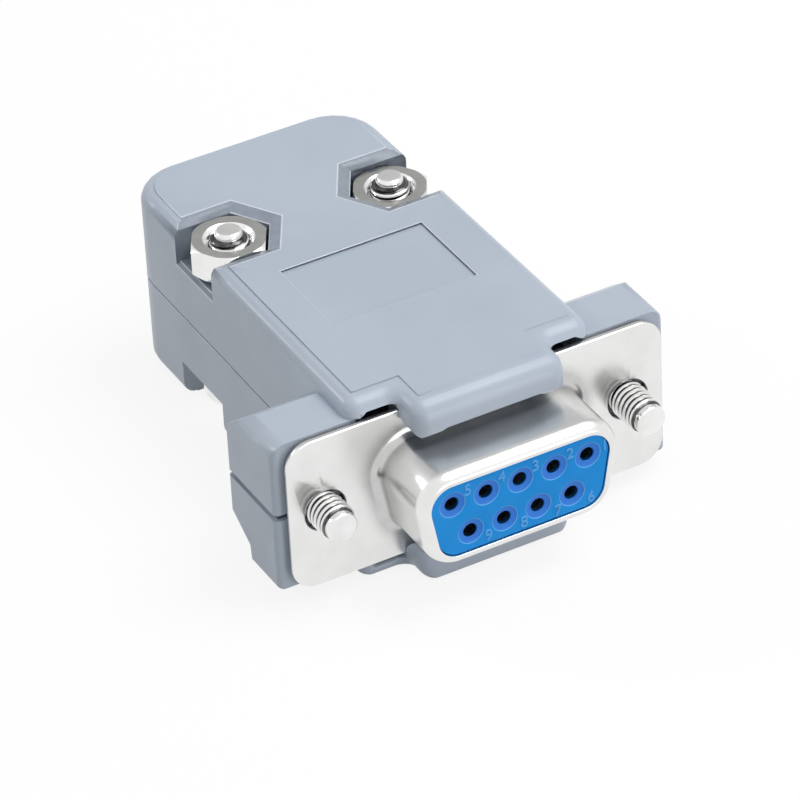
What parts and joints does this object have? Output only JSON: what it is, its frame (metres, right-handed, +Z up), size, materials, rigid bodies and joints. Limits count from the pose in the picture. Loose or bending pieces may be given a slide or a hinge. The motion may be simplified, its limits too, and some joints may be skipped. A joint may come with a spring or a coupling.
{
  "type": "d-sub connector",
  "caption": "D-subminiature socket connector with solder cups in a two-part moulded hood, with jackscrews, hex nut pockets and a rear cable outlet.",
  "frame": {"origin": "the connector's axis on the front face of its flange, midway between the two jackscrews", "axes": "+Z up, from the parting plane of the hood to the wide side of the D; -Y is the way the mating face looks; +X is on the right of someone who looks at the mating face"},
  "size_m": [0.0322, 0.0421, 0.0158],
  "materials": {
    "hood": "light blue-grey moulded plastic, satin",
    "shell": "nickel-plated drawn steel, polished",
    "rear_shell": "tin-plated drawn steel, satin",
    "insulator": "bright blue moulded plastic, satin",
    "contact": "tin-plated copper alloy, silver-coloured",
    "screw": "nickel-plated steel, bright",
    "nut": "nickel-plated steel, bright",
    "clamp": "zinc-plated steel strip, satin"
  },
  "bodies": {
    "connector": {"upper_hood": "hood", "lower_hood": "hood", "front_shell": "shell", "rear_shell": "rear_shell", "front_insulator": "insulator", "rear_insulator": "insulator", "contact_1": "contact", "contact_2": "contact", "contact_3": "contact", "contact_4": "contact", "contact_5": "contact", "contact_6": "contact", "contact_7": "contact", "contact_8": "contact", "contact_9": "contact", "hood_screw_left": "screw", "hood_screw_right": "screw", "hood_nut_left": "nut", "hood_nut_right": "nut", "clamp_upper": "clamp", "clamp_lower": "clamp", "clamp_screw_left": "screw", "clamp_screw_right": "screw"},
    "jackscrew_left": {"jackscrew_left": "screw"},
    "jackscrew_right": {"jackscrew_right": "screw"}
  },
  "joints": [
    {"name": "jackscrew_left_turn", "type": "hinge", "parent": "connector", "child": "jackscrew_left", "pos_m": [-0.01249, 0, 0], "axis": [0, 1, 0], "continuous": true},
    {"name": "jackscrew_right_turn", "type": "hinge", "parent": "connector", "child": "jackscrew_right", "pos_m": [0.01249, 0, 0], "axis": [0, 1, 0], "continuous": true}
  ]
}
